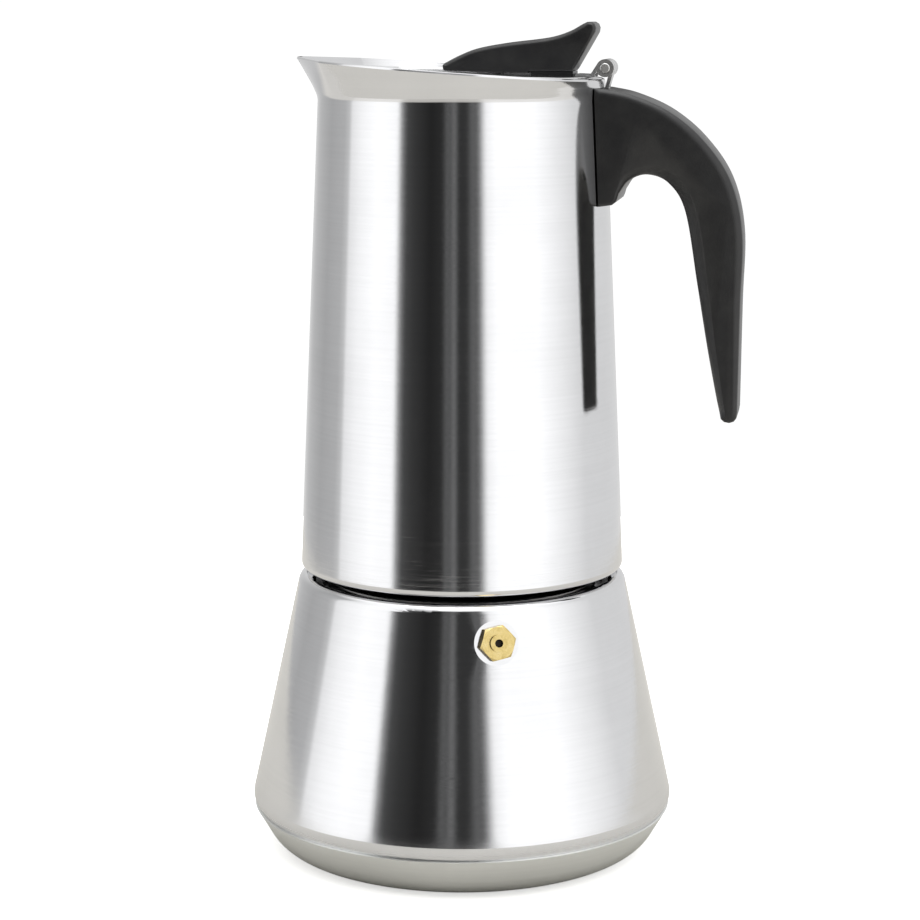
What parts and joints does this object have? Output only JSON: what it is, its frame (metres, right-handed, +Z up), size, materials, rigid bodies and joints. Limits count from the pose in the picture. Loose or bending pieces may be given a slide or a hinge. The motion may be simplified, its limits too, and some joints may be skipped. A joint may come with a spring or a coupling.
{
  "type": "moka pot",
  "caption": "Stovetop coffee maker: a flared steel water boiler with a safety valve, a screwed-on spouted pot with a hinged lid, and black handle and thumb knob.",
  "frame": {"origin": "centre of the underside of the base, on the pot's turning axis", "axes": "+Z up along the turning axis, +X towards the handle, -X towards the spout"},
  "size_m": [0.1203, 0.1042, 0.203],
  "materials": {
    "polished_steel": "polished stainless steel with faint turned lines",
    "base_steel": "satin stainless steel",
    "lid_steel": "polished stainless steel sheet",
    "core_aluminium": "plain",
    "inner_steel": "satin stainless steel",
    "perforated_steel": "satin stainless steel, perforated",
    "hardware_steel": "plain stainless steel hardware",
    "valve_brass": "turned brass",
    "silicone": "matte silicone",
    "black_bakelite": "matte black phenolic"
  },
  "bodies": {
    "boiler": {"boiler_shell": "polished_steel", "base_core": "core_aluminium", "base_cap": "base_steel", "valve_body": "valve_brass", "valve_washer": "silicone", "valve_nut": "valve_brass", "valve_seat": "valve_brass", "valve_spring": "hardware_steel"},
    "relief_valve": {"valve_pin": "hardware_steel"},
    "funnel": {"funnel_basket": "inner_steel", "funnel_stem": "inner_steel", "funnel_screen": "perforated_steel"},
    "seal": {"gasket": "silicone"},
    "filter": {"filter_plate": "perforated_steel"},
    "vessel": {"vessel_shell": "polished_steel", "vessel_floor": "inner_steel", "threaded_collar": "inner_steel", "coffee_column": "inner_steel", "column_cap": "inner_steel", "hinge_bracket": "inner_steel", "hinge_pin": "hardware_steel", "handle": "black_bakelite", "handle_bracket": "inner_steel", "bracket_nut": "hardware_steel", "handle_washer": "hardware_steel", "handle_screw": "hardware_steel"},
    "lid": {"lid_plate": "lid_steel", "lid_leaf": "inner_steel", "knob": "black_bakelite", "knob_spacer": "black_bakelite", "knob_screws": "hardware_steel"}
  },
  "joints": [
    {"name": "valve_relief", "type": "slide", "parent": "boiler", "child": "relief_valve", "axis": [0.3341, -0.9179, 0.214], "range_m": [0, 0.0012], "stiffness_N_per_m": 500, "springref_m": -0.001, "deforming": ["valve_spring"]},
    {"name": "funnel_lift", "type": "slide", "parent": "boiler", "child": "funnel", "axis": [0, 0, 1], "range_m": [0, 0.075]},
    {"name": "thread_rise", "type": "slide", "parent": "funnel", "child": "seal", "axis": [0, 0, 1], "range_m": [0, 0.006]},
    {"name": "vessel_lift", "type": "slide", "parent": "seal", "child": "filter", "axis": [0, 0, 1], "range_m": [0, 0.04]},
    {"name": "vessel_unscrew", "type": "hinge", "parent": "filter", "child": "vessel", "pos_m": [0, 0, 0.0853], "axis": [0, 0, 1], "range_deg": [0, 720]},
    {"name": "lid_hinge", "type": "hinge", "parent": "vessel", "child": "lid", "pos_m": [0.0349, 0, 0.192], "axis": [0, 1, 0], "range_deg": [0, 115]}
  ],
  "couplings": [
    {"joint": "thread_rise", "follows": "vessel_unscrew", "m_per_rad": 0.000477}
  ]
}
